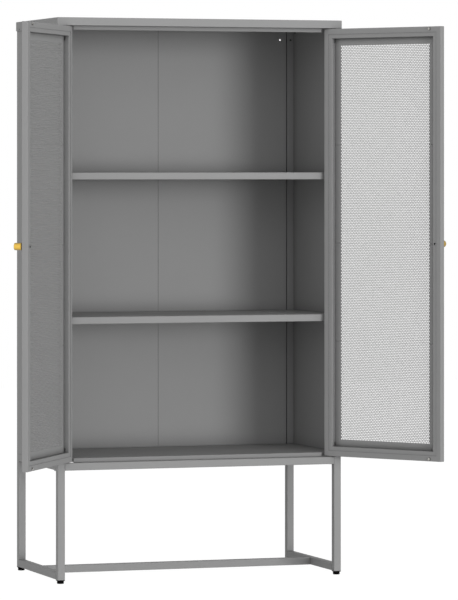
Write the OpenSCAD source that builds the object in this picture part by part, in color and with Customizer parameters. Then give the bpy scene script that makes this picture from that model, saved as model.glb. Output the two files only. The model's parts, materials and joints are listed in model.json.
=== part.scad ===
// Office cabinet of sheet steel on an open tube stand, with two perforated doors and two shelves.
// Millimetres, +Z up. The front faces -Y. The origin is on the floor, under the middle of the body.

/* [Body] */
// Width over the side panels
cab_w = 800; // [700:10:900]
// Depth over the side panels
cab_d = 400; // [350:10:600]
// Height of the body above its stand
body_h = 1183; // [1000:1:1400]
// Thickness of the sheet steel
sheet = 1; // [0.8:0.1:1.4]
// Outer radius of a bend in the sheet
bend_r = 2; // [1.6:0.1:2.4]
// Width of the jamb that each side panel folds to at the front
jamb_w = 13.5; // [12:0.5:20]
// Width of the flange that each side panel folds to at the bottom
side_flange = 15; // [13:1:25]
// Width of the box post that each side panel folds to at the back
post_w = 20; // [16:0.5:26]
// Depth of that post, to the back panels' front face
post_d = 22; // [16:0.5:30]
// Gap between a post and the folded edge of the back panel beside it
post_gap = 2.5; // [0.5:0.1:4]

/* [Stand] */
// Length of a leg
leg_h = 310; // [150:10:450]
// Side of the square tube
tube = 20; // [18:1:30]
// Wall of the square tube
tube_wall = 1.2; // [1:0.1:2]
// Outer corner radius of the square tube
tube_r = 1.8; // [1.6:0.1:2.4]
// Distance from a leg's middle line to the nearer stand bolt
bolt_in = 40; // [25:1:100]

/* [Feet] */
// Height of a foot below its leg
foot_h = 10; // [8:1:20]
// Diameter of the foot's glide
glide_d = 18.4; // [14:0.2:18.6]
// Thickness of the flange that closes the leg's end
foot_flange = 2; // [1.5:0.5:4]
// Length of the plug inside the leg
plug_h = 14; // [10:1:20]
// Thickness of the plug's crossed ribs
plug_rib = 3; // [2:0.5:6]
// Diameter of the plug's round core
plug_core_d = 12; // [6:1:15]
// Chamfer round the glide's lower edge
glide_chamfer = 1.2; // [0.5:0.1:2]

/* [Top cover] */
// Distance that the cover stands out past the body on every side
cover_over = 2; // [1.8:0.1:4]
// Height of the cover's front skirt
front_skirt = 21; // [18:1:30]
// Height of the cover's side and rear skirts
side_skirt = 25; // [22:1:35]

/* [Stops and floor] */
// Height of the lips that the shut doors stop against
stop_h = 11; // [10:0.5:14]
// Gap between a shut door and those lips
stop_gap = 3.5; // [2:0.5:6]
// Length by which the floor panel's front lip laps down behind the stand's front rail
lip_lap = 8; // [3:1:15]

/* [Shelves] */
// Height of a shelf's edge
shelf_h = 19; // [15:1:30]
// Width of the lip folded under a shelf's front and rear edges
shelf_lip = 12; // [8:1:20]
// Height of the lower shelf's top above the floor panel
lower_shelf_up = 375; // [300:5:450]
// Height of the upper shelf's top above the lower one's
upper_shelf_up = 385; // [300:5:450]

/* [Doors] */
// Thickness of a door
door_t = 16.5; // [15:0.5:20]
// Gap round a door at its hinge side, top and bottom
door_gap = 2; // [1.5:0.1:3]
// Gap between the two shut doors
meet_gap = 3; // [2:0.5:6]
// Angle that each door stands open
door_open = 124; // [90:1:125]
// Width of the door frame's front face
door_face = 26.5; // [23:0.5:40]
// Width of the flange folded back on the door's inner side
door_flange = 14.7; // [13:0.1:18]
// Outer radius of the stiffener's bend into the recess
rim_r = 1.5; // [1.2:0.1:4]
// Length of the slots at the foot of the recess wall on the hinge side
corner_slot_l = 10; // [4:1:20]
// Width of those slots
corner_slot_w = 3; // [2:0.5:5]
// Distance from a slot to the end of its wall
corner_slot_in = 2; // [1:0.5:10]

/* [Mesh] */
// Width of the plain band between the door's frame and the perforation
mesh_margin = 19; // [10:1:40]
// Distance between neighbouring openings
mesh_pitch = 34; // [34:1:60]
// Diameter of an opening
mesh_hole = 27; // [10:1:30]
// Width by which the perforated sheet laps behind the frame's face
mesh_lap = 2.5; // [2:0.1:3]

/* [Hinges] */
// Distance from a door's hinge edge to its pivot
pivot_in = 13.5; // [12:0.5:16]
// Distance from a door's front face to its pivot
pivot_back = 7.2; // [6.5:0.1:7.8]
// Diameter of a hinge pin
pin_d = 5; // [4:0.5:7]
// Wall of the bush that a pin turns in
bush_wall = 1.5; // [1.2:0.1:2.2]
// Width of the bush's flange beyond its body
bush_flange = 1; // [0.8:0.1:2]
// Length of a bush past the sheet that holds it
bush_tail = 3; // [2:1:6]
// Height of the block that holds a pin in the door
block_h = 24; // [16:1:40]
// Depth of the pin in its block
pin_in = 20; // [10:1:30]

/* [Knobs and magnets] */
// Diameter of a knob's head
knob_d = 19; // [16:1:30]
// Length of a knob
knob_l = 25; // [18:1:40]
// Diameter of a knob's neck
knob_neck_d = 11; // [9:0.5:14]
// Length of a knob's neck
knob_neck_l = 5; // [3:0.5:8]
// Radius of the head's edges
knob_r = 1.5; // [0.5:0.1:3]
// Distance from a door's free edge to its knob
knob_in = 19.7; // [18:0.1:20]
// Diameter of the knob's screw
knob_screw_d = 4; // [3:0.5:5]
// Length of the knob's screw inside the knob
knob_thread = 10; // [6:1:14]
// Diameter of a door magnet
magnet_d = 7; // [5:0.5:8]
// Distance from a door's free edge to its magnets
magnet_in = 37; // [30:1:60]
// Distance from a door's top or bottom edge to its magnet
magnet_end = 6.2; // [5:0.1:7]

/* [Fasteners] */
// Diameter of a sheet screw
screw_d = 4; // [3:0.5:5]
// Diameter of a sheet screw's head
screw_head_d = 7; // [6:0.5:9]
// Height of a sheet screw's head
screw_head_h = 1.8; // [1.2:0.1:2.4]
// Distance from the middle to a shelf's side screws, front and rear
shelf_screw_y = 120; // [60:5:140]
// Distance from the body's front or rear to the cover's side screws
cover_screw_in = 33; // [25:1:60]
// Height of the cover's side screws above the skirt's lower edge
cover_screw_up = 4.5; // [4.5:0.1:8]
// Diameter of a stand bolt
bolt_d = 6; // [5:0.5:7]
// Width across the flats of a stand bolt's head and nut
bolt_af = 10; // [8:0.5:11]
// Height of a stand bolt's head
bolt_head_h = 4; // [3:0.5:5]
// Height of a stand bolt's nut
nut_h = 5; // [4:0.5:6]
// Width across the flats of the hexagon socket in a screw's head
drive_af = 2.5; // [2:0.5:3]
// Depth of that socket
drive_depth = 1.2; // [0.8:0.1:1.4]
// Width of the tongue that laps the seam of the back
seam_lap = 12; // [8:1:30]
// Diameter of the wall-fixing holes in the back
wall_hole_d = 5; // [4:0.5:8]
// Distance from the body's side to a wall-fixing hole
wall_hole_in = 42; // [35:0.5:80]
// Distance from the body's top to a wall-fixing hole
wall_hole_down = 42; // [35:1:80]

/* [Clearances] */
// Radial running clearance of a pin in its bush
run_fit = 0.07; // [0.02:0.01:0.1]
// Radial clearance of a fixed round piece in its hole
hole_fit = 0.1; // [0.05:0.01:0.2]
// Clearance between a moving piece and what it stops against
stop_fit = 0.3; // [0.2:0.1:0.5]
// Clearance of a foot's plug on each side
plug_fit = 0.15; // [0.05:0.05:0.3]
// Clearance between a door's swing and what stands behind it
swing_fit = 2; // [1:0.5:4]
// Clearance between the two back panels' edges
seam_fit = 1; // [0.3:0.1:2]

/* [Hidden] */
$fn = 48;
eps = 0.01;
far = 4000;

steel_grey = [0.52, 0.53, 0.54];
stand_grey = [0.55, 0.56, 0.57];
door_grey = [0.48, 0.49, 0.5];
mesh_grey = [0.62, 0.63, 0.64];
brass = [0.85, 0.66, 0.22];
zinc = [0.75, 0.76, 0.78];
black = [0.08, 0.08, 0.08];
nylon = [0.85, 0.85, 0.82];

// Heights of the main levels
stand_top = foot_h + leg_h;
top_z = stand_top + body_h;
roof_z = top_z - sheet;
skirt_z = top_z - front_skirt;
side_skirt_z = top_z - side_skirt;
floor_z = stand_top + stop_h;
lower_shelf_z = floor_z + lower_shelf_up;
upper_shelf_z = lower_shelf_z + upper_shelf_up;

// Places across the front
front_y = -cab_d / 2;
rear_y = cab_d / 2;
stop_y = front_y + door_t + stop_gap;
back_y = rear_y - post_d;
pivot_x = cab_w / 2 - jamb_w - door_gap - pivot_in;
pivot_y = front_y + pivot_back;
swing_r = norm([pivot_in, door_t - pivot_back]);
swing_y = pivot_y + swing_r + swing_fit;
notch_x = pivot_x - swing_r - 2 * swing_fit;

// A door, its recess and its perforation
door_w = (cab_w - meet_gap) / 2 - jamb_w - door_gap;
door_h = skirt_z - stand_top - 2 * door_gap;
door_z = stand_top + door_gap;
recess_w = door_w - 2 * door_face;
recess_h = door_h - 2 * door_face;
mesh_w = recess_w - 2 * mesh_margin;
mesh_h = recess_h - 2 * mesh_margin;
mesh_rise = mesh_pitch * sin(60);
mesh_cols = floor((mesh_w - mesh_hole) / mesh_pitch) + 1;
mesh_rows = floor((mesh_h - mesh_hole) / mesh_rise) + 1;

// The bush is held in its sheet by its flange and fills the gap at the door's end
bush_d = pin_d + 2 * run_fit + 2 * bush_wall;
bush_flange_t = door_gap - stop_fit;
pin_out = bush_tail + sheet;

// Screws through the back's edges and the posts, at the height of what they hold in front
back_screw_x = cab_w / 2 - sheet - post_w / 2;
back_screw_z = [
    floor_z - stop_h / 2,
    lower_shelf_z - shelf_h / 2,
    upper_shelf_z - shelf_h / 2,
    top_z - wall_hole_down
];
bolt_x = (cab_w - tube) / 2;
bolt_y = (cab_d - tube) / 2 - bolt_in;

// Plane shapes

// A centred rectangle with round corners
module round_rect(w, h, r) {
    square([w - 2 * r, h], center = true);
    square([w, h - 2 * r], center = true);
    for (x = [-1, 1], y = [-1, 1])
        translate([x * (w / 2 - r), y * (h / 2 - r)]) circle(r);
}

// The wall of a square tube in section
module tube_section() {
    difference() {
        round_rect(tube, tube, tube_r);
        round_rect(tube - 2 * tube_wall, tube - 2 * tube_wall, max(tube_r - tube_wall, 0.3));
    }
}

// A slot that flares out through a radius r at its top, between heights y0 and y1
module flared_slot(half, r, y0, y1) {
    translate([-half, y0]) square([2 * half, y1 - y0]);
    difference() {
        translate([-half - r, y1 - r]) square([2 * (half + r), r]);
        for (x = [-1, 1]) translate([x * (half + r), y1 - r]) circle(r);
    }
}

// Solids that more than one piece uses

// A centred slab whose four vertical and four level edges along X are rounded, as folded sheet is
module bent_slab(w, t, h, r) {
    intersection() {
        linear_extrude(h, center = true) round_rect(w, t, r);
        rotate([0, 90, 0]) linear_extrude(w, center = true) round_rect(h, t, r);
    }
}

// A centred box with all its edges rounded, as folded sheet with closed corners is
module bent_box(w, d, h, r) {
    intersection() {
        linear_extrude(h, center = true) round_rect(w, d, r);
        rotate([90, 0, 90]) linear_extrude(w, center = true) round_rect(d, h, r);
        rotate([90, 0, 0]) linear_extrude(d, center = true) round_rect(w, h, r);
    }
}

// The room inside a recess that flares at its mouth on all four sides
module flared_room(half_w, half_h, r, y0, y1) {
    intersection() {
        linear_extrude(far, center = true) flared_slot(half_w, r, y0, y1);
        rotate([0, 90, 0]) linear_extrude(far, center = true) flared_slot(half_h, r, y0, y1);
    }
}

// A tube standing on z = 0
module upright_tube(length) {
    linear_extrude(length) tube_section();
}

// A tube lying along X, centred
module cross_tube(length) {
    rotate([0, 90, 0]) linear_extrude(length, center = true) tube_section();
}

// A tube lying along Y, centred
module depth_tube(length) {
    rotate([90, 0, 0]) linear_extrude(length, center = true) tube_section();
}

// A hole or shank along X, Y or Z through the origin
module rod_x(d, x0, x1) {
    translate([x0, 0, 0]) rotate([0, 90, 0]) cylinder(d = d, h = x1 - x0);
}

module rod_y(d, y0, y1) {
    translate([0, y0, 0]) rotate([-90, 0, 0]) cylinder(d = d, h = y1 - y0);
}

// Both sides of the cabinet
module both_sides() {
    children();
    mirror([1, 0, 0]) children();
}

// Places of the screws through the back
module at_back_screws() {
    for (x = [-1, 1], z = back_screw_z)
        translate([x * back_screw_x, 0, z]) children();
}

// Places of a shelf's side screws, given the height of the shelf's top, on the right side
module at_shelf_screws(top) {
    for (y = [-1, 1])
        translate([cab_w / 2, y * shelf_screw_y, top - shelf_h / 2]) children();
}

// Places of the cover's side screws on the right side
module at_cover_screws() {
    for (y = [-1, 1])
        translate([cab_w / 2, y * (cab_d / 2 - cover_screw_in), side_skirt_z + cover_screw_up])
            children();
}

// Places of the stand bolts
module at_bolts() {
    for (x = [-1, 1], y = [-1, 1]) translate([x * bolt_x, y * bolt_y, 0]) children();
}

// Stand

module leg(x, y) {
    color(stand_grey)
        translate([x * (cab_w - tube) / 2, y * (cab_d - tube) / 2, foot_h]) upright_tube(leg_h);
}

module front_left_leg() { leg(-1, -1); }

module front_right_leg() { leg(1, -1); }

module rear_left_leg() { leg(-1, 1); }

module rear_right_leg() { leg(1, 1); }

// The front rail also carries the lower hinge bushes
module front_top_rail() {
    color(stand_grey) difference() {
        translate([0, (tube - cab_d) / 2, stand_top - tube / 2]) cross_tube(cab_w - 2 * tube);
        for (x = [-1, 1]) translate([x * pivot_x, pivot_y, stand_top - tube / 2])
            cylinder(d = bush_d + 2 * hole_fit, h = tube);
    }
}

module rear_top_rail() {
    color(stand_grey)
        translate([0, (cab_d - tube) / 2, stand_top - tube / 2]) cross_tube(cab_w - 2 * tube);
}

module side_top_rail(x) {
    color(stand_grey) difference() {
        translate([x * (cab_w - tube) / 2, 0, stand_top - tube / 2]) depth_tube(cab_d - 2 * tube);
        at_bolts() translate([0, 0, stand_top - 2 * tube])
            cylinder(d = bolt_d + 2 * hole_fit, h = 3 * tube);
    }
}

module left_top_rail() { side_top_rail(-1); }

module right_top_rail() { side_top_rail(1); }

module side_bottom_rail(x) {
    color(stand_grey)
        translate([x * (cab_w - tube) / 2, 0, foot_h + tube / 2]) depth_tube(cab_d - 2 * tube);
}

module left_bottom_rail() { side_bottom_rail(-1); }

module right_bottom_rail() { side_bottom_rail(1); }

module middle_stretcher() {
    color(stand_grey) translate([0, 0, foot_h + tube / 2]) cross_tube(cab_w - 2 * tube);
}

// A foot: a plug inside the leg, a flange that closes its end and a round glide
module foot(x, y) {
    plug = tube - 2 * tube_wall - 2 * plug_fit;
    color(black) translate([x * (cab_w - tube) / 2, y * (cab_d - tube) / 2, 0]) {
        cylinder(d1 = glide_d - 2 * glide_chamfer, d2 = glide_d, h = glide_chamfer);
        translate([0, 0, glide_chamfer]) cylinder(d = glide_d, h = foot_h - glide_chamfer);
        translate([0, 0, foot_h - foot_flange]) linear_extrude(foot_flange)
            round_rect(tube, tube, tube_r);
        translate([0, 0, foot_h]) linear_extrude(plug_h) {
            square([plug, plug_rib], center = true);
            square([plug_rib, plug], center = true);
            circle(d = plug_core_d);
        }
    }
}

module front_left_foot() { foot(-1, -1); }

module front_right_foot() { foot(1, -1); }

module rear_left_foot() { foot(-1, 1); }

module rear_right_foot() { foot(1, 1); }

// Bolts up through the side rails and the side panels' bottom flanges, with their nuts
module stand_bolts() {
    color(zinc) at_bolts() {
        translate([0, 0, stand_top - tube - bolt_head_h])
            cylinder(d = bolt_af / cos(30), h = bolt_head_h, $fn = 6);
        translate([0, 0, stand_top - tube - eps])
            cylinder(d = bolt_d, h = tube + sheet + nut_h + eps);
    }
}

module stand_nuts() {
    color(zinc) at_bolts() translate([0, 0, stand_top + sheet]) difference() {
        cylinder(d = bolt_af / cos(30), h = nut_h, $fn = 6);
        translate([0, 0, -eps]) cylinder(d = bolt_d + 2 * hole_fit, h = nut_h + 2 * eps);
    }
}

// Body

// The right side panel: web, front jamb with its return, box post at the back, bottom flange
module side_panel() {
    web_x = cab_w / 2 - sheet;
    color(steel_grey) difference() {
        union() {
            translate([0, 0, stand_top]) linear_extrude(body_h - sheet) intersection() {
                round_rect(cab_w, cab_d, bend_r);
                union() {
                    translate([web_x, front_y]) square([sheet, cab_d]);
                    translate([cab_w / 2 - jamb_w, front_y]) square([jamb_w, sheet]);
                    translate([cab_w / 2 - jamb_w, front_y]) square([sheet, stop_y - front_y]);
                    translate([web_x - post_w, rear_y - sheet]) square([post_w + eps, sheet]);
                    translate([web_x - post_w, back_y]) square([sheet, post_d]);
                    translate([web_x - post_w, back_y]) square([post_w + eps, sheet]);
                }
            }
            translate([web_x - side_flange, stop_y + sheet, stand_top])
                cube([side_flange + eps, back_y - stop_y - sheet + eps, sheet]);
        }
        at_back_screws() rod_y(screw_d + 2 * hole_fit, back_y - sheet, rear_y + sheet);
        at_shelf_screws(lower_shelf_z) rod_x(screw_d + 2 * hole_fit, -tube, tube);
        at_shelf_screws(upper_shelf_z) rod_x(screw_d + 2 * hole_fit, -tube, tube);
        at_cover_screws() rod_x(screw_d + 2 * hole_fit, -tube, tube);
        at_bolts() cylinder(d = bolt_d + 2 * hole_fit, h = stand_top + tube);
    }
}

module left_side_panel() { mirror([1, 0, 0]) side_panel(); }

module right_side_panel() { side_panel(); }

// Half of the back, from the middle seam to the right side. Its side edge folds back beside the
// post and then out behind it.
module back_half() {
    edge_x = cab_w / 2 - sheet - post_w - post_gap;
    translate([0, 0, stand_top]) {
        linear_extrude(body_h - sheet)
            translate([seam_fit / 2, back_y]) square([edge_x - seam_fit / 2, sheet]);
        linear_extrude(body_h - sheet - bend_r) {
            translate([edge_x - sheet, back_y]) square([sheet, post_d + sheet]);
            translate([edge_x - sheet, rear_y])
                square([cab_w / 2 - bend_r - edge_x + sheet, sheet]);
        }
    }
}

module back_holes() {
    at_back_screws() rod_y(screw_d + 2 * hole_fit, rear_y - sheet, rear_y + 2 * sheet);
    for (x = [-1, 1]) translate([x * (cab_w / 2 - wall_hole_in), 0, top_z - wall_hole_down])
        rod_y(wall_hole_d, back_y - sheet, back_y + 2 * sheet);
}

module left_back_panel() {
    color(steel_grey) difference() {
        mirror([1, 0, 0]) back_half();
        back_holes();
    }
}

// The right half has a tongue that laps behind the left half
module right_back_panel() {
    color(steel_grey) difference() {
        union() {
            back_half();
            translate([-seam_lap, back_y + sheet, stand_top])
                cube([seam_lap + bend_r, sheet, body_h - sheet]);
        }
        back_holes();
    }
}

// The floor panel's outline, drawn in by a margin, with a notch for each door's swing
module floor_outline(margin) {
    x1 = cab_w / 2 - sheet - margin;
    x0 = notch_x - margin;
    polygon([
        [-x1, swing_y + margin], [-x0, swing_y + margin], [-x0, stop_y + margin],
        [x0, stop_y + margin], [x0, swing_y + margin], [x1, swing_y + margin],
        [x1, back_y - margin], [-x1, back_y - margin]
    ]);
}

// A shallow pan, open below, whose front lip is the doors' lower stop
module floor_panel() {
    pan_z = stand_top + sheet;
    color(steel_grey) difference() {
        union() {
            translate([0, 0, pan_z]) linear_extrude(floor_z - pan_z) floor_outline(0);
            translate([-notch_x, stop_y, stand_top - lip_lap])
                cube([2 * notch_x, sheet, floor_z - stand_top + lip_lap]);
        }
        translate([0, 0, pan_z - eps]) linear_extrude(floor_z - pan_z - sheet + eps)
            floor_outline(sheet);
        translate([-cab_w / 2, front_y, stand_top - tube]) cube([cab_w, tube, tube]);
        at_back_screws() rod_y(screw_d + 2 * hole_fit, back_y - tube, rear_y);
    }
}

// The rail over the doors: an upstand behind the skirt, a shelf for the bushes and a stop lip
module header_rail() {
    rail_w = cab_w - 2 * jamb_w;
    skirt_y = front_y - cover_over + sheet;
    color(steel_grey) difference() {
        union() {
            translate([-rail_w / 2, skirt_y, skirt_z]) cube([rail_w, sheet, roof_z - bend_r - skirt_z]);
            translate([-rail_w / 2, skirt_y, skirt_z])
                cube([rail_w, stop_y + sheet - skirt_y, sheet]);
            translate([-notch_x, stop_y, skirt_z - stop_h])
                cube([2 * notch_x, sheet, stop_h + sheet]);
        }
        for (x = [-1, 1]) translate([x * pivot_x, pivot_y, skirt_z - sheet])
            cylinder(d = bush_d + 2 * hole_fit, h = 3 * sheet);
    }
}

// The cover: a top sheet with a skirt on all sides, lower at the sides and the back
module top_cover() {
    w = cab_w + 2 * cover_over;
    d = cab_d + 2 * cover_over;
    color(steel_grey) difference() {
        translate([0, 0, side_skirt_z]) intersection() {
            bent_box(w, d, 2 * side_skirt, bend_r);
            linear_extrude(side_skirt) square([w, d], center = true);
        }
        translate([0, 0, side_skirt_z])
            bent_box(w - 2 * sheet, d - 2 * sheet, 2 * (side_skirt - sheet), bend_r - sheet);
        translate([sheet - w / 2, -d, side_skirt_z - side_skirt])
            cube([w - 2 * sheet, d, skirt_z - side_skirt_z + side_skirt]);
        both_sides() at_cover_screws() rod_x(screw_d + 2 * hole_fit, -tube, tube);
    }
}

// A shelf: a folded pan with end walls and a lip under its front and rear edges
module shelf(top) {
    w = cab_w - 2 * sheet;
    d = back_y - swing_y;
    color(steel_grey) difference() {
        translate([0, swing_y + d / 2, top - shelf_h / 2]) difference() {
            rotate([90, 0, 90]) linear_extrude(w, center = true) round_rect(d, shelf_h, bend_r);
            cube([w - 2 * sheet, d - 2 * sheet, shelf_h - 2 * sheet], center = true);
            translate([0, 0, -shelf_h / 2])
                cube([w - 2 * sheet, d - 2 * shelf_lip, shelf_h], center = true);
        }
        both_sides() at_shelf_screws(top) rod_x(screw_d + 2 * hole_fit, -tube, tube);
        at_back_screws() rod_y(screw_d + 2 * hole_fit, back_y - tube, rear_y);
    }
}

module lower_shelf() { shelf(lower_shelf_z); }

module upper_shelf() { shelf(upper_shelf_z); }

// Screws from inside a shelf's end wall through the side panel
module shelf_screws() {
    color(zinc) both_sides() for (top = [lower_shelf_z, upper_shelf_z]) at_shelf_screws(top) {
        rod_x(screw_d, -2 * sheet - eps, 0);
        rod_x(screw_head_d, -2 * sheet - screw_head_h, -2 * sheet);
    }
}

// Screws through the cover's side skirts, with their heads flush with the skirt
module cover_screws() {
    color(zinc) both_sides() at_cover_screws() difference() {
        union() {
            rod_x(screw_d, -2 * sheet, cover_over);
            rod_x(screw_head_d, -2 * sheet, -sheet);
        }
        translate([cover_over - drive_depth, 0, 0]) rotate([0, 90, 0])
            cylinder(d = drive_af / cos(30), h = 2 * drive_depth, $fn = 6);
    }
}

// Pan-head screws through the back panels' edges and the posts, with tips that show in front
module back_screws() {
    seat_y = rear_y + sheet;
    color(zinc) at_back_screws() {
        rod_y(screw_d, back_y - 2 * sheet, seat_y + eps);
        difference() {
            rod_y(screw_head_d, seat_y, seat_y + screw_head_h);
            translate([0, seat_y + screw_head_h - drive_depth, 0]) rotate([-90, 0, 0])
                cylinder(d = drive_af / cos(30), h = screw_head_h, $fn = 6);
        }
    }
}

// Bushes, each with its flange between the sheet and the door's end; up is 1 at the top
module hinge_bush(up) {
    color(nylon) both_sides() translate([pivot_x, pivot_y, up > 0 ? skirt_z : stand_top])
        mirror([0, 0, up > 0 ? 0 : 1]) difference() {
            union() {
                translate([0, 0, -bush_flange_t])
                    cylinder(d = bush_d + 2 * bush_flange, h = bush_flange_t);
                translate([0, 0, -eps]) cylinder(d = bush_d, h = sheet + bush_tail + eps);
            }
            translate([0, 0, -tube]) cylinder(d = pin_d + 2 * run_fit, h = 2 * tube);
        }
}

module upper_hinge_bushes() { hinge_bush(1); }

module lower_hinge_bushes() { hinge_bush(-1); }

// Doors. Each piece is drawn on a shut left door whose middle is at the origin, with its front
// face to -Y, and left_door or right_door then hangs it on its pivot at the open angle.

module hang() {
    translate([-pivot_x, pivot_y, door_z + door_h / 2]) rotate([0, 0, -door_open])
        translate([door_w / 2 - pivot_in, door_t / 2 - pivot_back, 0]) children();
}

module left_door() { hang() children(); }

module right_door() { mirror([1, 0, 0]) hang() children(); }

// Places on a door, in its own frame
module at_pivot() {
    translate([pivot_in - door_w / 2, pivot_back - door_t / 2, 0]) children();
}

module at_knob() {
    translate([door_w / 2 - knob_in, -door_t / 2, 0]) children();
}

module at_magnets() {
    for (z = [-1, 1])
        translate([door_w / 2 - magnet_in, door_t / 2, z * (door_h / 2 - magnet_end)]) children();
}

// The frame: folded sheet with a front face, edges and an inner flange, open inside
module door_frame() {
    color(door_grey) difference() {
        bent_slab(door_w, door_t, door_h, bend_r);
        bent_slab(door_w - 2 * sheet, door_t - 2 * sheet, door_h - 2 * sheet, bend_r - sheet);
        translate([0, -door_t / 2, 0]) cube([recess_w, door_t, recess_h], center = true);
        translate([0, door_t / 2, 0])
            cube([door_w - 2 * door_flange, door_t, door_h - 2 * door_flange], center = true);
        at_pivot() cylinder(d = pin_d + 2 * hole_fit, h = far, center = true);
        at_knob() rod_y(knob_screw_d + 2 * hole_fit, -door_t, 2 * sheet);
        at_magnets() rod_y(magnet_d + 2 * hole_fit, -2 * sheet, sheet);
    }
}

// The stiffener: a rim behind the frame's flange that bends down to the perforated sheet
module door_stiffener() {
    rim_y = door_t / 2 - sheet;
    foot_y = 2 * sheet - door_t / 2;
    color(door_grey) difference() {
        union() {
            translate([0, rim_y - sheet / 2, 0])
                cube([door_w - 2 * bend_r, sheet, door_h - 2 * bend_r], center = true);
            flared_room(recess_w / 2 + sheet, recess_h / 2 + sheet, rim_r - sheet,
                        foot_y, rim_y - sheet);
        }
        flared_room(recess_w / 2, recess_h / 2, rim_r, foot_y - sheet, rim_y);
        at_knob() rod_y(knob_screw_d + 2 * hole_fit, 0, 2 * door_t);
        for (z = [-1, 1])
            translate([-recess_w / 2, foot_y + corner_slot_w / 2 - eps,
                       z * (recess_h / 2 - corner_slot_in - corner_slot_l / 2)])
                cube([4 * sheet, corner_slot_w, corner_slot_l], center = true);
    }
}

// The perforated sheet: staggered rows of round openings inside a plain margin
module mesh_panel() {
    color(mesh_grey) difference() {
        translate([0, 1.5 * sheet - door_t / 2, 0])
            cube([recess_w + 2 * mesh_lap, sheet, recess_h + 2 * mesh_lap], center = true);
        for (row = [0 : mesh_rows - 1]) {
            cols = mesh_cols - row % 2;
            for (col = [0 : cols - 1])
                translate([(col - (cols - 1) / 2) * mesh_pitch, 0,
                           (row - (mesh_rows - 1) / 2) * mesh_rise])
                    rod_y(mesh_hole, -door_t / 2, 3 * sheet - door_t / 2);
        }
    }
}

// The block inside the frame's corner that a pin is fixed in; up is 1 at the top
module hinge_block(up) {
    block_w = door_face - mesh_lap - sheet - hole_fit;
    block_t = door_t - 3 * sheet;
    color(zinc) mirror([0, 0, up > 0 ? 0 : 1]) difference() {
        intersection() {
            translate([sheet - door_w / 2, sheet - door_t / 2, door_h / 2 - sheet - block_h])
                cube([block_w, block_t, block_h]);
            bent_slab(door_w - 2 * sheet, door_t - 2 * sheet, door_h - 2 * sheet, bend_r - sheet);
        }
        at_pivot() translate([0, 0, door_h / 2 - sheet - pin_in])
            cylinder(d = pin_d + 2 * run_fit, h = 2 * pin_in);
    }
}

// A pin, from the bottom of its hole in the block to past the end of its bush
module hinge_pin(up) {
    color(zinc) mirror([0, 0, up > 0 ? 0 : 1]) at_pivot()
        translate([0, 0, door_h / 2 - sheet - pin_in])
            cylinder(d = pin_d, h = pin_in + sheet + door_gap + pin_out);
}

// Magnets seated on the stiffener's rim, proud of the flange, that meet the stop lips
module door_magnets() {
    color(zinc) at_magnets() rod_y(magnet_d, -sheet, stop_gap - stop_fit);
}

// The knob: neck and round head, bored for its screw
module knob() {
    head_l = knob_l - knob_neck_l;
    color(brass) at_knob() rotate([90, 0, 0]) difference() {
        rotate_extrude() {
            square([knob_neck_d / 2, knob_neck_l + knob_r]);
            intersection() {
                translate([0, knob_neck_l + head_l / 2]) round_rect(knob_d, head_l, knob_r);
                square([knob_d, 2 * knob_l]);
            }
        }
        translate([0, 0, -eps]) cylinder(d = knob_screw_d + 2 * hole_fit, h = knob_thread + sheet);
    }
}

// The knob's screw, with its head on the stiffener's rim
module knob_screw() {
    seat_y = door_t - sheet;
    color(zinc) at_knob() difference() {
        union() {
            rod_y(knob_screw_d, -knob_thread, seat_y + eps);
            rod_y(screw_head_d, seat_y, seat_y + screw_head_h);
        }
        translate([0, seat_y + screw_head_h - drive_depth, 0]) rotate([-90, 0, 0])
            cylinder(d = drive_af / cos(30), h = screw_head_h, $fn = 6);
    }
}

module left_door_frame() { left_door() door_frame(); }

module left_door_stiffener() { left_door() door_stiffener(); }

module left_mesh_panel() { left_door() mesh_panel(); }

module left_upper_hinge_block() { left_door() hinge_block(1); }

module left_lower_hinge_block() { left_door() hinge_block(-1); }

module left_upper_hinge_pin() { left_door() hinge_pin(1); }

module left_lower_hinge_pin() { left_door() hinge_pin(-1); }

module left_door_magnets() { left_door() door_magnets(); }

module left_knob() { left_door() knob(); }

module left_knob_screw() { left_door() knob_screw(); }

module right_door_frame() { right_door() door_frame(); }

module right_door_stiffener() { right_door() door_stiffener(); }

module right_mesh_panel() { right_door() mesh_panel(); }

module right_upper_hinge_block() { right_door() hinge_block(1); }

module right_lower_hinge_block() { right_door() hinge_block(-1); }

module right_upper_hinge_pin() { right_door() hinge_pin(1); }

module right_lower_hinge_pin() { right_door() hinge_pin(-1); }

module right_door_magnets() { right_door() door_magnets(); }

module right_knob() { right_door() knob(); }

module right_knob_screw() { right_door() knob_screw(); }

front_left_leg();
front_right_leg();
rear_left_leg();
rear_right_leg();
front_top_rail();
rear_top_rail();
left_top_rail();
right_top_rail();
left_bottom_rail();
right_bottom_rail();
middle_stretcher();
front_left_foot();
front_right_foot();
rear_left_foot();
rear_right_foot();
stand_bolts();
stand_nuts();
left_side_panel();
right_side_panel();
left_back_panel();
right_back_panel();
floor_panel();
header_rail();
top_cover();
lower_shelf();
upper_shelf();
shelf_screws();
cover_screws();
back_screws();
upper_hinge_bushes();
lower_hinge_bushes();
left_door_frame();
left_door_stiffener();
left_mesh_panel();
left_upper_hinge_block();
left_lower_hinge_block();
left_upper_hinge_pin();
left_lower_hinge_pin();
left_door_magnets();
left_knob();
left_knob_screw();
right_door_frame();
right_door_stiffener();
right_mesh_panel();
right_upper_hinge_block();
right_lower_hinge_block();
right_upper_hinge_pin();
right_lower_hinge_pin();
right_door_magnets();
right_knob();
right_knob_screw();
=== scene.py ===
# %% [markdown]
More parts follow.
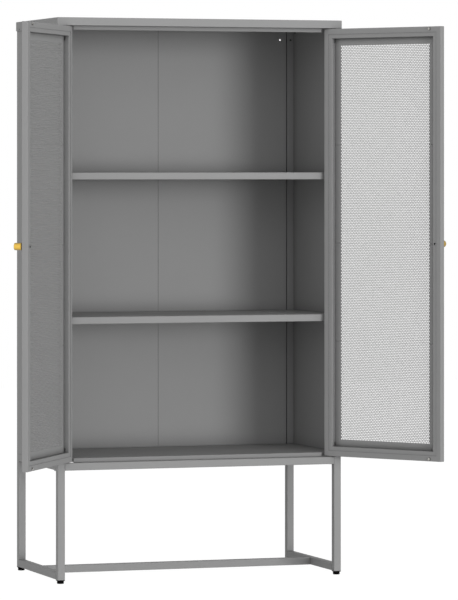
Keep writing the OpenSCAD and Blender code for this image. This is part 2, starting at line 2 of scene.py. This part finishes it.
# # A perforated steel cabinet on an open stand
#
# The cabinet is folded from thin sheet and powder coated in one grey. Its solid shapes come packed
# as a fixed frame. What is left for Blender is the light, the finishes and the two perforated
# sheets, whose thousands of small holes are too many for a solid modeller.
# The first cell loads the frame.

# %% Load the frame
import bpy
import json
import math
import numpy as np
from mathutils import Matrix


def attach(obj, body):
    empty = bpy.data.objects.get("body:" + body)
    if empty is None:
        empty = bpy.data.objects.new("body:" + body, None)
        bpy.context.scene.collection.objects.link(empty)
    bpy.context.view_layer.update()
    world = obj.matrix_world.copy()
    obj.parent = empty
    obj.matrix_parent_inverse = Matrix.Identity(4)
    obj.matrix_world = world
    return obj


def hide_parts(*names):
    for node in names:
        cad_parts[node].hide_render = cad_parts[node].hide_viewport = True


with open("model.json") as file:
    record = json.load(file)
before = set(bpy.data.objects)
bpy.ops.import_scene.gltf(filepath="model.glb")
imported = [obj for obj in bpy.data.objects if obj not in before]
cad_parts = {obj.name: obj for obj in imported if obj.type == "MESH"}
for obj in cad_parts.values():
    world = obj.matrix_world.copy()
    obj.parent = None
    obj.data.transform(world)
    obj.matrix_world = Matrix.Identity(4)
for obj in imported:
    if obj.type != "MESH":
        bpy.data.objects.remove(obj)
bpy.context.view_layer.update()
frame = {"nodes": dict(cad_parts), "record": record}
nodes = frame["nodes"]

# %% [markdown]
# The photograph was taken level, from the left of the cabinet, a little above its middle. A level
# camera keeps every upright parallel, so the view is aimed with a vertical shift of the lens and
# never by tilting. The place and focal length below come from fitting the cabinet's measured
# edges. The picture is taller than wide, so the sensor's 36 mm lie along the height.

# %% Camera
camera_data = bpy.data.cameras.new("camera")
camera_data.sensor_width = 36.0
camera_data.lens = 243.15
camera_data.shift_y = -0.2212
camera_data.clip_end = 200.0
camera = bpy.data.objects.new("camera", camera_data)
camera.location = (-3.4227, -10.5156, 1.1049)
camera.rotation_euler = (math.radians(90.0), 0.0, math.radians(-18.75))
bpy.context.scene.collection.objects.link(camera)
bpy.context.scene.camera = camera
bpy.context.scene.view_settings.view_transform = "Standard"
print("camera at", tuple(camera.location), "lens", camera_data.lens)

# %% [markdown]
# Shader trees are easier to read when each node is made in one line. These two helpers make a
# node with its values and join sockets. They are used by every finish below.

# %% Shader helpers
def add_node(tree, kind, **values):
    """A node of one kind in a tree, with plain properties set by name."""
    node = tree.nodes.new(kind)
    for name, value in values.items():
        setattr(node, name, value)
    return node


def feed(tree, source, target):
    """Joins an output socket, or a plain value, to an input socket."""
    if isinstance(source, bpy.types.NodeSocket):
        tree.links.new(source, target)
    else:
        target.default_value = source


def new_material(name, viewport):
    """An empty node material with a colour for the solid view."""
    material = bpy.data.materials.new(name)
    material.use_nodes = True
    material.node_tree.nodes.clear()
    material.diffuse_color = (*viewport, 1.0)
    return material, material.node_tree


def math_node(tree, operation, a, b=0.0):
    """One sum of two numbers or sockets, as a socket."""
    node = add_node(tree, "ShaderNodeMath", operation=operation)
    feed(tree, a, node.inputs[0])
    feed(tree, b, node.inputs[1])
    return node.outputs[0]


print("helpers ready")

# %% [markdown]
# The studio is a pale floor under a white surround. To the camera and in reflections the surround
# is plain white. As a light it is much softer: a weak glow from all around, and three broad
# windows, one in front, one to the left of it and one behind. A window is brightest in its own
# direction and fades to nothing a quarter turn away. The white behind an object and the light
# that falls on it are two different choices, and a Light Path node tells the two apart.

# %% Surround
AROUND = 0.15
# Each window's strength, and its angle in degrees leftward of the front
WINDOWS = ((0.66, 0.0), (0.5, 60.0), (0.4, 180.0))
WHITE = (1.0, 1.0, 1.0, 1.0)

world = bpy.data.worlds.new("surround")
world.use_nodes = True
bpy.context.scene.world = world
tree = world.node_tree
tree.nodes.clear()


def seen_directly(tree):
    """1 where a ray comes from the camera, a reflection or through glass, and 0 elsewhere."""
    path = add_node(tree, "ShaderNodeLightPath")
    shiny = math_node(tree, "MAXIMUM", path.outputs["Is Glossy Ray"],
                      path.outputs["Is Transmission Ray"])
    return math_node(tree, "MAXIMUM", path.outputs["Is Camera Ray"], shiny)


towards = add_node(tree, "ShaderNodeTexCoord").outputs["Generated"]
soft = AROUND
for strength, leftward in WINDOWS:
    angle = math.radians(leftward)
    facing = add_node(tree, "ShaderNodeVectorMath", operation="DOT_PRODUCT")
    feed(tree, towards, facing.inputs[0])
    facing.inputs[1].default_value = (-math.sin(angle), -math.cos(angle), 0.0)
    ahead = math_node(tree, "MAXIMUM", facing.outputs["Value"], 0.0)
    soft = math_node(tree, "ADD", math_node(tree, "MULTIPLY", ahead, strength), soft)
seen = seen_directly(tree)
unseen = math_node(tree, "SUBTRACT", 1.0, seen)
level = math_node(tree, "ADD", math_node(tree, "MULTIPLY", soft, unseen), seen)
background = add_node(tree, "ShaderNodeBackground")
feed(tree, WHITE, background.inputs["Color"])
feed(tree, level, background.inputs["Strength"])
feed(tree, background.outputs[0], add_node(tree, "ShaderNodeOutputWorld").inputs["Surface"])
print("surround light:", AROUND, "plus windows of strength and angle", WINDOWS)

# %% [markdown]
# The floor is one large plane. In the photograph it is pure white and has no edge against the
# wall, so most of what the camera sees of it is a plain white, and a small share is the real lit
# floor, which keeps a faint shadow under the stand. The key light comes in nearly level, as if
# from a long row of windows, so the floor is left out of the shadows that it would throw.

# %% Floor
FLOOR_HALF = 9.0
FLOOR_GREY = (0.86, 0.86, 0.86)
# How much of the floor that the camera sees is plain white, and the strength of that white
FLOOR_WHITE = 0.9
FLOOR_GLOW = 1.09

floor_mesh = bpy.data.meshes.new("floor")
corners = FLOOR_HALF * np.array([(-1, -1, 0), (1, -1, 0), (1, 1, 0), (-1, 1, 0)], dtype=float)
floor_mesh.from_pydata(corners.tolist(), [], [(0, 1, 2, 3)])
floor = bpy.data.objects.new("floor", floor_mesh)
floor.visible_shadow = False
bpy.context.scene.collection.objects.link(floor)

floor_paint, tree = new_material("floor_paint", (0.9, 0.9, 0.9))
diffuse = add_node(tree, "ShaderNodeBsdfDiffuse")
diffuse.inputs["Color"].default_value = (*FLOOR_GREY, 1.0)
white = add_node(tree, "ShaderNodeEmission")
white.inputs["Strength"].default_value = FLOOR_GLOW
mix = add_node(tree, "ShaderNodeMixShader")
feed(tree, math_node(tree, "MULTIPLY", seen_directly(tree), FLOOR_WHITE), mix.inputs["Fac"])
feed(tree, diffuse.outputs[0], mix.inputs[1])
feed(tree, white.outputs[0], mix.inputs[2])
feed(tree, mix.outputs[0], add_node(tree, "ShaderNodeOutputMaterial").inputs["Surface"])
floor_mesh.materials.append(floor_paint)
print("floor of", 2 * FLOOR_HALF, "m")

# %% [markdown]
# The key light is nearly level and comes from the right of the cabinet: its right inner wall and
# everything that faces left are dark, and the light's edge falls on the back panel as a soft
# upright band. How soft it is tells how wide the light is: a far lamp that fills twenty degrees.

# %% Key light
KEY_SIDE, KEY_RISE, KEY_WIDTH = 19.0, 1.0, 20.0
KEY_STRENGTH = 1.18

key_data = bpy.data.lights.new("key", "SUN")
key_data.energy = KEY_STRENGTH
key_data.angle = math.radians(KEY_WIDTH)
key = bpy.data.objects.new("key", key_data)
key.rotation_euler = (math.radians(90.0 - KEY_RISE), 0.0, math.radians(KEY_SIDE))
bpy.context.scene.collection.objects.link(key)
print("key light:", KEY_STRENGTH, "from", KEY_SIDE, "degrees right of the front")

# %% [markdown]
# Powder coat is sprayed dry and melted in an oven. Seen close it has a fine orange-peel surface,
# a few denser specks of pigment, and a soft satin gloss. None of this follows an edge, so plain
# noise in object space is the right source. The grain is a group, because the grey coat, the
# black feet, the blackened screws and the nylon bushes all use it at their own strength.

# %% Grain group
def new_group(name, inputs, outputs):
    """A shader node group with float or colour sockets given as (name, kind, value)."""
    group = bpy.data.node_groups.new(name, "ShaderNodeTree")
    for socket, kind, value in inputs:
        made = group.interface.new_socket(socket, in_out="INPUT", socket_type=kind)
        made.default_value = value
    for socket, kind in outputs:
        group.interface.new_socket(socket, in_out="OUTPUT", socket_type=kind)
    return group, add_node(group, "NodeGroupInput"), add_node(group, "NodeGroupOutput")


def noise(tree, scale, detail=2.0, vector=None):
    """A noise in object space, between 0 and 1, with its scale in waves per metre."""
    node = add_node(tree, "ShaderNodeTexNoise")
    if vector is None:
        vector = add_node(tree, "ShaderNodeTexCoord").outputs["Object"]
    feed(tree, vector, node.inputs["Vector"])
    feed(tree, scale, node.inputs["Scale"])
    node.inputs["Detail"].default_value = detail
    return node.outputs["Fac"]


def around_zero(tree, value, amount):
    """(value - 0.5) * amount."""
    return math_node(tree, "MULTIPLY", math_node(tree, "SUBTRACT", value, 0.5), amount)


FLOAT, COLOUR, VECTOR = "NodeSocketFloat", "NodeSocketColor", "NodeSocketVector"
# Waves per metre of the slow noise, how far it moves the roughness, and the peel's height
SLOW_WAVES, ROUGH_SPREAD, PEEL_HEIGHT = 9.0, 0.12, 0.0002
grain_group, enter, leave = new_group(
    "grain",
    [("Color", COLOUR, (0.5, 0.5, 0.5, 1.0)), ("Roughness", FLOAT, 0.5), ("Scale", FLOAT, 600.0),
     ("Mottle", FLOAT, 0.05), ("Relief", FLOAT, 0.1)],
    [("Color", COLOUR), ("Roughness", FLOAT), ("Normal", VECTOR)])
fine = noise(grain_group, enter.outputs["Scale"], 3.0)
broad = noise(grain_group, SLOW_WAVES, 3.0)
lighter = math_node(grain_group, "ADD", around_zero(grain_group, fine, enter.outputs["Mottle"]),
                    around_zero(grain_group, broad, enter.outputs["Mottle"]))
tint = add_node(grain_group, "ShaderNodeVectorMath", operation="SCALE")
feed(grain_group, enter.outputs["Color"], tint.inputs[0])
feed(grain_group, math_node(grain_group, "ADD", lighter, 1.0), tint.inputs["Scale"])
feed(grain_group, tint.outputs[0], leave.inputs["Color"])
uneven = around_zero(grain_group, broad, ROUGH_SPREAD)
feed(grain_group, math_node(grain_group, "ADD", enter.outputs["Roughness"], uneven),
     leave.inputs["Roughness"])
bump = add_node(grain_group, "ShaderNodeBump")
bump.inputs["Distance"].default_value = PEEL_HEIGHT
feed(grain_group, enter.outputs["Relief"], bump.inputs["Strength"])
feed(grain_group, fine, bump.inputs["Height"])
feed(grain_group, bump.outputs[0], leave.inputs["Normal"])
print("grain group:", [s.name for s in grain_group.interface.items_tree])

# %% [markdown]
# A cabinet that stands in an office gathers a thin film of dust on what faces up: the cover, the
# shelves and the floor panel. The group gives the share of dust from the upward part of the
# normal, broken up by a slow noise.

# %% Dust group
DUST_COLOUR = (0.5, 0.49, 0.47)
# The upward part is raised to this power, so that only what is nearly level gathers dust
DUST_POWER, DUST_WAVES = 4.0, 22.0

dust_group, enter, leave = new_group("dust", [("Amount", FLOAT, 0.2)], [("Mask", FLOAT)])
split = add_node(dust_group, "ShaderNodeSeparateXYZ")
feed(dust_group, add_node(dust_group, "ShaderNodeNewGeometry").outputs["Normal"], split.inputs[0])
rising = math_node(dust_group, "MAXIMUM", split.outputs["Z"], 0.0)
upward = math_node(dust_group, "POWER", rising, DUST_POWER)
patchy = math_node(dust_group, "MULTIPLY", noise(dust_group, DUST_WAVES, 5.0), upward)
mask = math_node(dust_group, "MULTIPLY", patchy, enter.outputs["Amount"])
feed(dust_group, mask, leave.inputs["Mask"])
print("dust group ready")

# %% [markdown]
# Where two folded sheets meet, the joint is a dark line and a corner is darker, because little
# light finds its way in. The light of a soft studio alone leaves such lines too pale, because it
# comes from all sides, so this shade is painted into the colour. An Ambient Occlusion node
# measures how much of the view above a point is blocked within a reach, and this group turns that
# into a painted shade. It
# is placed twice: with a long reach for the painted shade in a corner, and with a short one for
# the painted shade along a joint.

# %% Crease shade group
crease_shade_group, enter, leave = new_group(
    "crease", [("Reach", FLOAT, 0.03), ("Depth", FLOAT, 0.5)], [("Shade", FLOAT)])
occlusion = add_node(crease_shade_group, "ShaderNodeAmbientOcclusion", samples=6)
feed(crease_shade_group, enter.outputs["Reach"], occlusion.inputs["Distance"])
blocked = math_node(crease_shade_group, "SUBTRACT", 1.0, occlusion.outputs["AO"])
darker = math_node(crease_shade_group, "MULTIPLY", blocked, enter.outputs["Depth"])
feed(crease_shade_group, math_node(crease_shade_group, "SUBTRACT", 1.0, darker), leave.inputs["Shade"])
print("crease group ready")

# %% [markdown]
# With the groups built, a finish is a short list of numbers. The shader stays in the material and
# the groups only feed it. This helper makes one coat: grain first, then dust over its colour, and
# the painted shade of corners and joints last.
# The one grey comes in three versions. The folded sheet has the full set. The perforated sheet
# has no painted shade, because its thousands of holes would count as corners and darken all of it.
# The stiffener lies in the door's narrow recess, which looks darker, and takes a deeper painted
# shade.

# %% Coats
def place_group(tree, group, **values):
    """A group node with named inputs set."""
    node = add_node(tree, "ShaderNodeGroup", node_tree=group)
    for name, value in values.items():
        feed(tree, value, node.inputs[name])
    return node


# Reach in metres and depth of the painted shade, first in a corner and then along a joint
CREASE_SHADES = ((0.035, 0.35), (0.003, 0.5))
RECESS_CREASE_SHADES = ((0.03, 0.8), (0.003, 0.2))


def coat(name, colour, roughness, scale, mottle, relief, gloss=0.05, dust=0.0, creases=CREASE_SHADES):
    """A painted or moulded finish, with a painted shade in its corners and joints."""
    material, tree = new_material(name, colour)
    shader = add_node(tree, "ShaderNodeBsdfPrincipled")
    shader.inputs["Specular IOR Level"].default_value = gloss
    grain = place_group(tree, grain_group, Color=(*colour, 1.0), Roughness=roughness, Scale=scale,
                        Mottle=mottle, Relief=relief)
    mask = place_group(tree, dust_group, Amount=dust)
    mix = add_node(tree, "ShaderNodeMix", data_type="RGBA")
    feed(tree, mask.outputs["Mask"], mix.inputs["Factor"])
    feed(tree, grain.outputs["Color"], mix.inputs[6])
    feed(tree, (*DUST_COLOUR, 1.0), mix.inputs[7])
    shade = 1.0
    for reach, depth in creases:
        crease = place_group(tree, crease_shade_group, Reach=reach, Depth=depth)
        shade = math_node(tree, "MULTIPLY", crease.outputs["Shade"], shade)
    shaded = add_node(tree, "ShaderNodeVectorMath", operation="SCALE")
    feed(tree, mix.outputs[2], shaded.inputs[0])
    feed(tree, shade, shaded.inputs["Scale"])
    feed(tree, shaded.outputs[0], shader.inputs["Base Color"])
    feed(tree, grain.outputs["Roughness"], shader.inputs["Roughness"])
    feed(tree, grain.outputs["Normal"], shader.inputs["Normal"])
    feed(tree, shader.outputs[0], add_node(tree, "ShaderNodeOutputMaterial").inputs["Surface"])
    return material


POWDER = {"colour": (0.33, 0.33, 0.33), "roughness": 0.5, "scale": 700.0, "mottle": 0.05,
          "relief": 0.12, "gloss": 0.03}
# The folded sheet: dust on what faces up, and painted shade in corners and joints
grey_coat_with_crease_shade = coat("grey_coat_with_crease_shade", dust=0.12, **POWDER)
sheet_coat = coat("grey_sheet_coat", creases=(), **POWDER)
# The stiffeners: a deeper painted shade for their narrow recess
recess_shade_coat = coat("grey_recess_coat", creases=RECESS_CREASE_SHADES, **POWDER)
black_plastic = coat("black_foot_plastic", (0.006, 0.006, 0.006), 0.6, 900.0, 0.1, 0.2, gloss=0.0)
black_steel = coat("black_oxide_steel", (0.02, 0.02, 0.02), 0.4, 900.0, 0.1, 0.1)
nylon = coat("grey_nylon", (0.35, 0.345, 0.33), 0.5, 900.0, 0.03, 0.05)
print("coats:", *(c.name for c in (grey_coat_with_crease_shade, sheet_coat, recess_shade_coat, black_plastic, black_steel,
                                  nylon)))

# %% [markdown]
# Bare metal differs from a coat in two ways: it is metallic, and the marks of its making run one
# way. A turned brass knob carries fine rings about its axis, and zinc plate has a cloudy spangle.
# Both come from noise: stretched along one axis for the turned marks, and unstretched for the
# plate.
# The head of a knob's screw reads as a black dot, the shade in its socket for the driver. The
# solid's head has a socket of 2.5 mm, too small to show from so far, so the metal is given a
# painted shade within a small distance of a line.

# %% Bare metals
# The cloud's waves as a share of the marks', how deep the cloud is, how far the marks move the
# roughness, and their height in metres
CLOUD_SHARE, CLOUD_DEPTH, MARK_SPREAD, MARK_HEIGHT = 0.1, 0.15, 0.2, 0.0001


def beyond(tree, centre, along, radius):
    """1 farther than a radius from a line, else 0: a distance is |(point - centre) x along|."""
    place = add_node(tree, "ShaderNodeVectorMath", operation="SUBTRACT")
    feed(tree, add_node(tree, "ShaderNodeTexCoord").outputs["Object"], place.inputs[0])
    place.inputs[1].default_value = centre
    cross = add_node(tree, "ShaderNodeVectorMath", operation="CROSS_PRODUCT")
    feed(tree, place.outputs[0], cross.inputs[0])
    cross.inputs[1].default_value = along
    distance = add_node(tree, "ShaderNodeVectorMath", operation="LENGTH")
    feed(tree, cross.outputs[0], distance.inputs[0])
    return math_node(tree, "GREATER_THAN", distance.outputs["Value"], radius)


def metal(name, colour, roughness, stretch, scale, relief, edge=0.0, recess=None):
    """A metal whose noise is stretched on each axis. Its colour is multiplied by
    (1 - slant) ** edge, where slant is 0 face on and 1 at a grazing view: a painted shade towards
    the outline. Where a recess is given, it is also multiplied by beyond(): a painted shade in a
    screw's socket."""
    material, tree = new_material(name, colour)
    shader = add_node(tree, "ShaderNodeBsdfPrincipled")
    shader.inputs["Metallic"].default_value = 1.0
    mapping = add_node(tree, "ShaderNodeMapping")
    mapping.inputs["Scale"].default_value = stretch
    feed(tree, add_node(tree, "ShaderNodeTexCoord").outputs["Object"], mapping.inputs["Vector"])
    marks = noise(tree, scale, 4.0, mapping.outputs[0])
    cloud = noise(tree, scale * CLOUD_SHARE, 2.0)
    tint = add_node(tree, "ShaderNodeVectorMath", operation="SCALE")
    feed(tree, colour, tint.inputs[0])
    # A painted shade: the colour darkens towards the outline, where the view grazes the surface
    slant = add_node(tree, "ShaderNodeLayerWeight").outputs["Facing"]
    shade = math_node(tree, "POWER", math_node(tree, "SUBTRACT", 1.0, slant), edge)
    # A painted shade in a screw's socket: dark within a radius of its axis
    if recess is not None:
        shade = math_node(tree, "MULTIPLY", beyond(tree, *recess), shade)
    cloudy = math_node(tree, "ADD", around_zero(tree, cloud, CLOUD_DEPTH), 1.0)
    feed(tree, math_node(tree, "MULTIPLY", shade, cloudy), tint.inputs["Scale"])
    feed(tree, tint.outputs[0], shader.inputs["Base Color"])
    rough = math_node(tree, "ADD", around_zero(tree, marks, MARK_SPREAD), roughness)
    feed(tree, rough, shader.inputs["Roughness"])
    bump = add_node(tree, "ShaderNodeBump")
    bump.inputs["Distance"].default_value = MARK_HEIGHT
    bump.inputs["Strength"].default_value = relief
    feed(tree, marks, bump.inputs["Height"])
    feed(tree, bump.outputs[0], shader.inputs["Normal"])
    feed(tree, shader.outputs[0], add_node(tree, "ShaderNodeOutputMaterial").inputs["Surface"])
    return material


EVEN = (1.0, 1.0, 1.0)
PLATE = {"roughness": 0.3, "stretch": EVEN, "scale": 900.0, "relief": 0.1}
# The brass's edge value darkens it towards its outline: a painted shade
brass = metal("satin_brass", (0.95, 0.62, 0.12), 0.32, (1.0, 1.0, 6.0), 500.0, 0.1, edge=1.2)
zinc = metal("zinc_plate", (0.4, 0.41, 0.43), **PLATE)
nickel = metal("nickel_plate", (0.42, 0.41, 0.39), 0.22, EVEN, 1200.0, 0.05)
print("metals:", brass.name, zinc.name, nickel.name)

# %% [markdown]
# Each solid of the frame gets its finish by the slot that the record names for it, so a new node
# can never be left bare. The stiffeners alone take the coat with the deeper painted shade of the
# recess instead.

# %% Dress the solids
FINISH = {"grey_paint": grey_coat_with_crease_shade, "brass": brass, "zinc": zinc, "nickel": nickel,
          "black_plastic": black_plastic, "black_steel": black_steel, "nylon": nylon}

for part in frame["record"]["subparts"]:
    solid = nodes[part["node"]]
    solid.data.materials.clear()
    finish = recess_shade_coat if "stiffener" in part["node"] else FINISH[part["material_slot"]]
    solid.data.materials.append(finish)

# %% [markdown]
# Each knob's screw needs its own metal, because its painted shade, the dark middle of its socket,
# lies about its own axis. The axis is square to the door, which stands open at an angle, and it
# passes within 0.3 mm of the middle of the screw's box. That is near enough for a dot 6 mm wide.

# %% Knob screws
OPEN = math.radians(124.0)
# Radius of the painted shade of a screw's socket
SOCKET_SHADE_RADIUS = 0.003
BRIGHT_ZINC = (0.85, 0.85, 0.85)

for side, door in ((-1, "left"), (1, "right")):
    screw = nodes[f"{door}_knob_screw"]
    spots = np.empty(3 * len(screw.data.vertices))
    screw.data.vertices.foreach_get("co", spots)
    spots = spots.reshape(-1, 3)
    centre = 0.5 * (spots.min(axis=0) + spots.max(axis=0))
    square = (-side * math.sin(OPEN), math.cos(OPEN), 0.0)
    screw.data.materials[0] = metal(f"{door}_knob_screw_zinc", BRIGHT_ZINC, **PLATE,
                                    recess=(centre, square, SOCKET_SHADE_RADIUS))
    print(screw.name, "axis near", np.round(centre, 4))

# %% [markdown]
# The perforated sheets come last. The real sheet has holes of about 4 mm in staggered rows, some
# thirteen thousand in each door. A texture with holes would be flat, and at a slant the sheet's
# thickness is what makes it look solid, so the holes are real ones. One hole in its cell is drawn
# once: a rectangle with a middle point on its upper and lower edge, round an eight-sided hole of
# the same area as the round one. Those middle points are where the corners of the next row's
# cells fall, so the rows share them. The pitch and the hole are estimates.

# %% One cell
PITCH = 0.0052
ROW = PITCH * math.sin(math.radians(60.0))
HOLE = 0.0042
SIDES = 8

rim = 0.5 * np.array([(-PITCH, -ROW), (0, -ROW), (PITCH, -ROW),
                      (PITCH, ROW), (0, ROW), (-PITCH, ROW)])
turn = 2.0 * np.pi * np.arange(SIDES) / SIDES
same_area = math.sqrt(2.0 * np.pi / (SIDES * math.sin(2.0 * np.pi / SIDES)))
ring = 0.5 * HOLE * same_area * np.column_stack([np.cos(turn), np.sin(turn)])
cell_points = np.vstack([rim, ring])
cell_faces = np.array([
    (2, 3, 6), (3, 7, 6), (3, 4, 7), (4, 8, 7), (4, 9, 8), (4, 5, 9), (5, 10, 9),
    (5, 0, 10), (0, 11, 10), (0, 1, 11), (1, 12, 11), (1, 13, 12), (1, 2, 13), (2, 6, 13)])
print("a cell has", len(cell_faces), "faces a side; open share",
      round(math.pi * HOLE ** 2 / 4 / (PITCH * ROW), 3))

# %% [markdown]
# A flat pattern is a set of triangles in the plane. The cells are laid in rows, every second row
# one cell shorter and half a pitch in, with a plain half cell at its ends. Plain bands round the
# field make the margin. Points that two pieces share are merged by their rounded place.

# %% The flat pattern
COLUMNS, ROWS = 56, 237
SHEET_W, SHEET_H = 0.335, 1.11


def quads(x0, x1, z0, z1):
    """Rectangles given by arrays of their limits, as points and triangles."""
    corners = ((x0, z0), (x1, z0), (x1, z1), (x0, z1))
    points = np.stack([np.column_stack(corner) for corner in corners], axis=1)
    first = 4 * np.arange(len(points))[:, None]
    faces = np.concatenate([first + (0, 1, 2), first + (0, 2, 3)])
    return points.reshape(-1, 2), faces


def cells(centres):
    """A copy of the cell at each centre, as points and triangles."""
    points = centres[:, None, :] + cell_points
    first = len(cell_points) * np.arange(len(centres))[:, None, None]
    return points.reshape(-1, 2), (cell_faces + first).reshape(-1, 3)


def weld(parts):
    """Joins lists of points and triangles, and merges points less than a micron apart."""
    starts = np.cumsum([0] + [len(points) for points, _ in parts[:-1]])
    points = np.vstack([points for points, _ in parts])
    faces = np.vstack([faces + start for (_, faces), start in zip(parts, starts)])
    _, keep, where = np.unique(np.round(points * 1e6).astype(int), axis=0,
                               return_index=True, return_inverse=True)
    return points[keep], where.ravel()[faces]


def band(row_first, row_last):
    """The pattern of some rows: cells, half cells and margins; the end bands have a wide edge."""
    rows = np.arange(row_first, row_last)
    z = (rows - (ROWS - 1) / 2) * ROW
    short = rows % 2
    number = COLUMNS - short
    row_of = np.repeat(np.arange(len(rows)), number)
    column = np.concatenate([np.arange(n) for n in number])
    x = (column - (number[row_of] - 1) / 2) * PITCH
    parts = [cells(np.column_stack([x, z[row_of]]))]
    half_w, edge = COLUMNS * PITCH / 2, SHEET_W / 2
    low, high = z - ROW / 2, z + ROW / 2
    odd = short == 1
    for side in (-1, 1):
        inner = np.full(len(rows), side * half_w)
        outer = np.full(len(rows), side * edge)
        left, right = (outer, inner) if side < 0 else (inner, outer)
        parts.append(quads(left, right, low, high))
        step = inner - side * PITCH / 2
        left, right = (inner, step) if side < 0 else (step, inner)
        parts.append(quads(left[odd], right[odd], low[odd], high[odd]))
    for here, at_end in ((-1, row_first == 0), (1, row_last == ROWS)):
        if at_end:
            near, far = here * ROWS * ROW / 2, here * SHEET_H / 2
            bottom, top = min(near, far), max(near, far)
            steps = np.linspace(-half_w, half_w, 2 * COLUMNS + 1)
            limits = np.concatenate([[-edge], steps, [edge]])
            count = len(limits) - 1
            parts.append(quads(limits[:-1], limits[1:],
                               np.full(count, bottom), np.full(count, top)))
    return weld(parts)


points, faces = band(0, 60)
print("the first 60 rows:", len(points), "points,", len(faces), "triangles")

# %% [markdown]
# The flat pattern becomes a sheet by placing it twice, one thickness apart, and walling up every
# edge that has a face on one side only. Those edges are the holes and the outline, so one rule
# closes them all and turns every wall outwards.

# %% From pattern to sheet
THICK = 0.001


def thicken(points, faces):
    """Front at y = 0 and back at y = THICK, joined by a wall along each open edge."""
    count = len(points)
    edges = np.concatenate([faces[:, [0, 1]], faces[:, [1, 2]], faces[:, [2, 0]]])
    code = edges[:, 0] * count + edges[:, 1]
    back_code = edges[:, 1] * count + edges[:, 0]
    a, b = edges[~np.isin(back_code, code)].T
    front = np.column_stack([points[:, 0], np.zeros(count), points[:, 1]])
    solid = np.vstack([front, front + (0.0, THICK, 0.0)])
    walls = np.concatenate([np.column_stack([b, a, a + count]),
                            np.column_stack([b, a + count, b + count])])
    return solid, np.vstack([faces, faces[:, ::-1] + count, walls])


def mesh_object(name, points, faces, material):
    """A mesh object at the origin from arrays of points and triangles."""
    mesh = bpy.data.meshes.new(name)
    mesh.vertices.add(len(points))
    mesh.vertices.foreach_set("co", points.astype(np.float32).ravel())
    mesh.loops.add(faces.size)
    mesh.loops.foreach_set("vertex_index", faces.astype(np.int32).ravel())
    mesh.polygons.add(len(faces))
    mesh.polygons.foreach_set("loop_start", np.arange(0, faces.size, 3, dtype=np.int32))
    mesh.update(calc_edges=True)
    mesh.materials.append(material)
    made = bpy.data.objects.new(name, mesh)
    bpy.context.scene.collection.objects.link(made)
    return made


print("sheet thickness", THICK)

# %% [markdown]
# A sheet is drawn on a shut door whose middle is the origin, then moved to its place behind the
# frame's front face, turned open about the hinge, and for the right door mirrored. A mirror turns
# the faces inside out, so their order is turned back. A sheet comes in bands of rows, because a
# piece is best kept under 200,000 triangles.

# %% Hang the sheets
DOOR_W, DOOR_MID_Z, FACE = 0.383, 0.901, 0.001
PIVOT_IN, PIVOT_BACK = 0.0135, 0.0072
PIVOT_X, PIVOT_Y = 0.371, -0.1928
BANDS = 4


def hang(points, side):
    """Places shut-door points on the left (-1) or right (1) door, open as photographed."""
    x = points[:, 0] + DOOR_W / 2 - PIVOT_IN
    y = points[:, 1] + FACE - PIVOT_BACK
    c, s = math.cos(-OPEN), math.sin(-OPEN)
    return np.column_stack([-side * (-PIVOT_X + c * x - s * y), PIVOT_Y + s * x + c * y,
                            DOOR_MID_Z + points[:, 2]])


cuts = np.linspace(0, ROWS, BANDS + 1).astype(int)
for side, door in ((-1, "left_door"), (1, "right_door")):
    pieces = []
    for number in range(BANDS):
        points, faces = thicken(*band(cuts[number], cuts[number + 1]))
        faces = faces[:, ::-1] if side > 0 else faces
        name = f"{door}_perforated_sheet_{number + 1}"
        piece = mesh_object(name, hang(points, side), faces, sheet_coat)
        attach(piece, door)
        pieces.append(piece)
    node = door.replace("door", "mesh_panel")
    for piece in pieces:
        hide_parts(node)
    print(door, "holes:", ROWS * COLUMNS - ROWS // 2,
          "triangles:", sum(len(p.data.polygons) for p in pieces))
